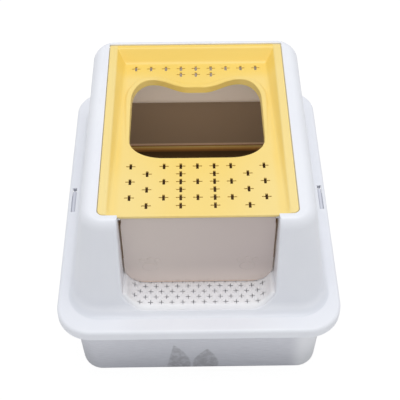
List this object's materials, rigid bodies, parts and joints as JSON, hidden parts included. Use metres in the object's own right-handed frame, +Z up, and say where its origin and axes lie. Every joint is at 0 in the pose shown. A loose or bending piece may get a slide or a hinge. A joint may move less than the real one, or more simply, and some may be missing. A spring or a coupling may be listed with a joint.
{
  "type": "top entry litter box",
  "caption": "Steel litter pan under a flared plastic hood with a hinged top entry lid, a swinging front flap, a perforated step and side latches.",
  "frame": {"origin": "middle of the footprint, on the floor the pan stands on", "axes": "+Z up, +X to the right seen from the front, the front with the flap faces -Y"},
  "size_m": [0.44, 0.551, 0.332],
  "materials": {
    "pan_steel": "satin, drawn",
    "hood_plastic": "satin white",
    "lid_plastic": "satin pale yellow",
    "smoke_plastic": "smoky translucent",
    "step_plastic": "matt warm white",
    "latch_plastic": "matt grey",
    "pin_steel": "drawn wire"
  },
  "bodies": {
    "box": {"litter_pan": "pan_steel", "hood": "hood_plastic", "filter_step": "step_plastic", "lid_hinge_pin_left": "pin_steel", "lid_hinge_pin_right": "pin_steel", "flap_hinge_rod": "pin_steel", "latch_pin_left": "pin_steel", "latch_pin_right": "pin_steel"},
    "lid": {"entry_lid": "lid_plastic"},
    "flap": {"flap_door": "smoke_plastic"},
    "latch_left": {"side_latch_left": "latch_plastic"},
    "latch_right": {"side_latch_right": "latch_plastic"}
  },
  "joints": [
    {"name": "lid_hinge", "type": "hinge", "parent": "box", "child": "lid", "pos_m": [0, 0.1905, 0.32785], "axis": [-1, 0, 0], "range_deg": [0, 94]},
    {"name": "flap_swing", "type": "hinge", "parent": "box", "child": "flap", "pos_m": [0, -0.1845, 0.317], "axis": [1, 0, 0], "range_deg": [-60, 75]},
    {"name": "latch_left_pivot", "type": "hinge", "parent": "box", "child": "latch_left", "pos_m": [-0.2105, -0.0056, 0.152], "axis": [0, 1, 0], "range_deg": [0, 30]},
    {"name": "latch_right_pivot", "type": "hinge", "parent": "box", "child": "latch_right", "pos_m": [0.2105, -0.0056, 0.152], "axis": [0, -1, 0], "range_deg": [0, 30]}
  ]
}
